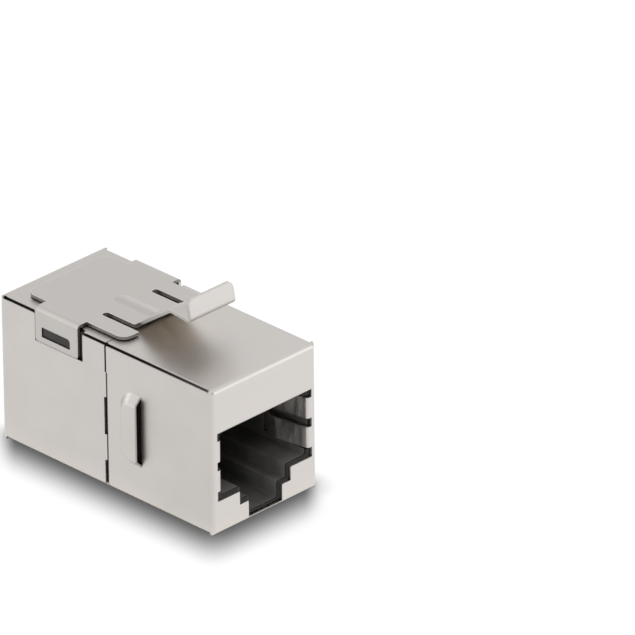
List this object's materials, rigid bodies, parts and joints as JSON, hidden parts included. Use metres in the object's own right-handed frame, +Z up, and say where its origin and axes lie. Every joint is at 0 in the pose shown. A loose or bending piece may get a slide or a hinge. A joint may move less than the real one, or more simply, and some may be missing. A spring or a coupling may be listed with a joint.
{
  "type": "shielded in-line keystone module",
  "caption": "Shielded keystone coupler: folded metal shell in two halves, a port in each end and a sprung latch clip on top that snaps into a panel opening.",
  "frame": {"origin": "middle of the flat underside, under the middle of the body", "axes": "+Z up through the latch clip, -Y out of the front port, +Y out of the rear port, +X across the width"},
  "size_m": [0.0162, 0.0302, 0.0221],
  "materials": {
    "plated_sheet": "satin nickel-plated sheet",
    "spring_sheet": "satin plated spring sheet",
    "black_plastic": "moulded, fine matt",
    "block_plastic": "moulded, fine matt",
    "board": "solder-masked glass-fibre laminate",
    "gold_contact": "gold-plated strip"
  },
  "bodies": {
    "root": {"front_shell": "plated_sheet", "rear_shell": "plated_sheet", "latch_clip": "spring_sheet", "front_housing": "black_plastic", "rear_housing": "black_plastic", "front_contact_block": "block_plastic", "rear_contact_block": "block_plastic", "circuit_board": "board", "front_contact_1": "gold_contact", "front_contact_2": "gold_contact", "front_contact_3": "gold_contact", "front_contact_4": "gold_contact", "front_contact_5": "gold_contact", "front_contact_6": "gold_contact", "front_contact_7": "gold_contact", "front_contact_8": "gold_contact", "rear_contact_1": "gold_contact", "rear_contact_2": "gold_contact", "rear_contact_3": "gold_contact", "rear_contact_4": "gold_contact", "rear_contact_5": "gold_contact", "rear_contact_6": "gold_contact", "rear_contact_7": "gold_contact", "rear_contact_8": "gold_contact"}
  },
  "joints": []
}
